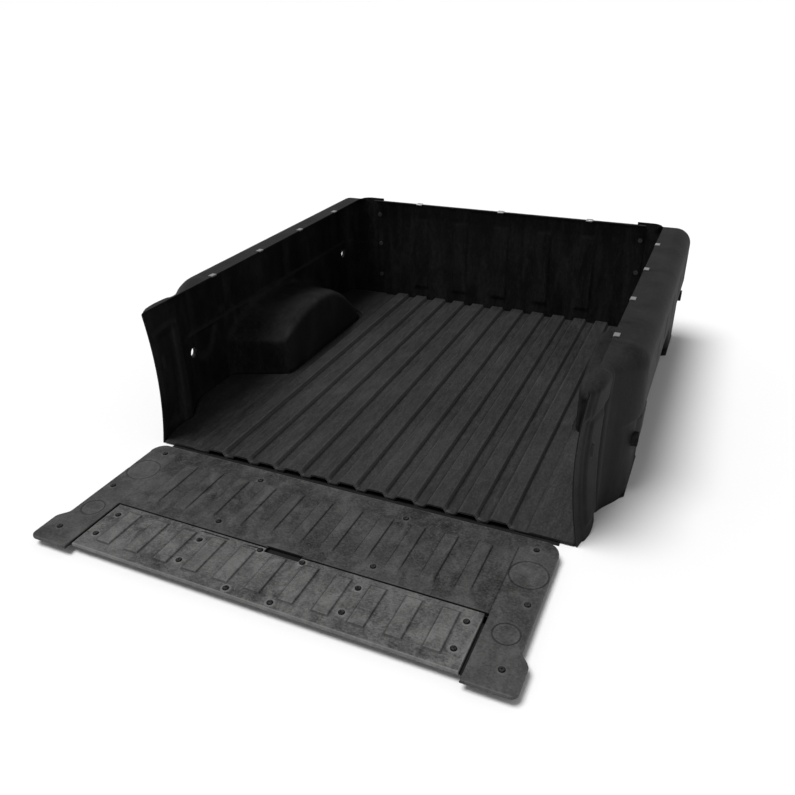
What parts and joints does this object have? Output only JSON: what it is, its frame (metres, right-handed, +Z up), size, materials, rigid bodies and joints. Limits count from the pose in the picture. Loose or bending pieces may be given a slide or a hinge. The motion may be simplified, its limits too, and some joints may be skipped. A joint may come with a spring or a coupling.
{
  "type": "truck bed liner",
  "caption": "Component bed liner for a short pickup bed: ribbed floor mat, side and front panels, and screwed-on tailgate panels with a flip-up load stop.",
  "frame": {"origin": "centre of the liner's outline at the bed floor, with the tailgate open", "axes": "+X to the passenger side, +Y towards the cab, +Z up"},
  "size_m": [1.814, 2.422, 0.5465],
  "materials": {
    "mat_rubber": "matte, fine streaks along the ribs",
    "side_plastic": "satin thermoformed polyethylene",
    "tailgate_plastic": "matte polyethylene, scuffed and dusty",
    "screw_black": "black oxide",
    "washer_black": "black, satin",
    "fastener_plastic": "moulded nylon",
    "nylon": "natural nylon",
    "clip_steel": "zinc-plated spring steel"
  },
  "bodies": {
    "liner": {"floor_mat": "mat_rubber", "front_panel": "side_plastic", "left_side_panel": "side_plastic", "right_side_panel": "side_plastic", "left_rail_clips": "clip_steel", "right_rail_clips": "clip_steel", "front_rail_clips": "clip_steel", "left_corner_receptacles": "nylon", "right_corner_receptacles": "nylon"},
    "tailgate": {"tailgate_panel": "tailgate_plastic", "tailgate_screws": "screw_black", "tailgate_cup_washers": "washer_black", "tailgate_anchors": "nylon"},
    "load_stop": {"load_stop_panel": "tailgate_plastic", "load_stop_screws": "screw_black", "load_stop_cup_washers": "washer_black", "load_stop_anchors": "nylon"},
    "left_fastener_low_turn": {"left_fastener_low": "fastener_plastic"},
    "left_fastener_middle_turn": {"left_fastener_middle": "fastener_plastic"},
    "left_fastener_high_turn": {"left_fastener_high": "fastener_plastic"},
    "right_fastener_low_turn": {"right_fastener_low": "fastener_plastic"},
    "right_fastener_middle_turn": {"right_fastener_middle": "fastener_plastic"},
    "right_fastener_high_turn": {"right_fastener_high": "fastener_plastic"}
  },
  "joints": [
    {"name": "tailgate_fold", "type": "hinge", "parent": "liner", "child": "tailgate", "pos_m": [0, -0.613, 0], "axis": [-1, 0, 0], "range_deg": [0, 90]},
    {"name": "load_stop_flip", "type": "hinge", "parent": "tailgate", "child": "load_stop", "pos_m": [0, -1.1905, 0.034], "axis": [1, 0, 0], "range_deg": [0, 90]},
    {"name": "left_fastener_low_lock", "type": "hinge", "parent": "liner", "child": "left_fastener_low_turn", "pos_m": [-0.682, 1.193, 0.124], "axis": [0, 1, 0], "range_deg": [0, 90]},
    {"name": "left_fastener_middle_lock", "type": "hinge", "parent": "liner", "child": "left_fastener_middle_turn", "pos_m": [-0.682, 1.193, 0.3], "axis": [0, 1, 0], "range_deg": [0, 90]},
    {"name": "left_fastener_high_lock", "type": "hinge", "parent": "liner", "child": "left_fastener_high_turn", "pos_m": [-0.682, 1.193, 0.46], "axis": [0, 1, 0], "range_deg": [0, 90]},
    {"name": "right_fastener_low_lock", "type": "hinge", "parent": "liner", "child": "right_fastener_low_turn", "pos_m": [0.682, 1.193, 0.124], "axis": [0, 1, 0], "range_deg": [0, 90]},
    {"name": "right_fastener_middle_lock", "type": "hinge", "parent": "liner", "child": "right_fastener_middle_turn", "pos_m": [0.682, 1.193, 0.3], "axis": [0, 1, 0], "range_deg": [0, 90]},
    {"name": "right_fastener_high_lock", "type": "hinge", "parent": "liner", "child": "right_fastener_high_turn", "pos_m": [0.682, 1.193, 0.46], "axis": [0, 1, 0], "range_deg": [0, 90]}
  ]
}
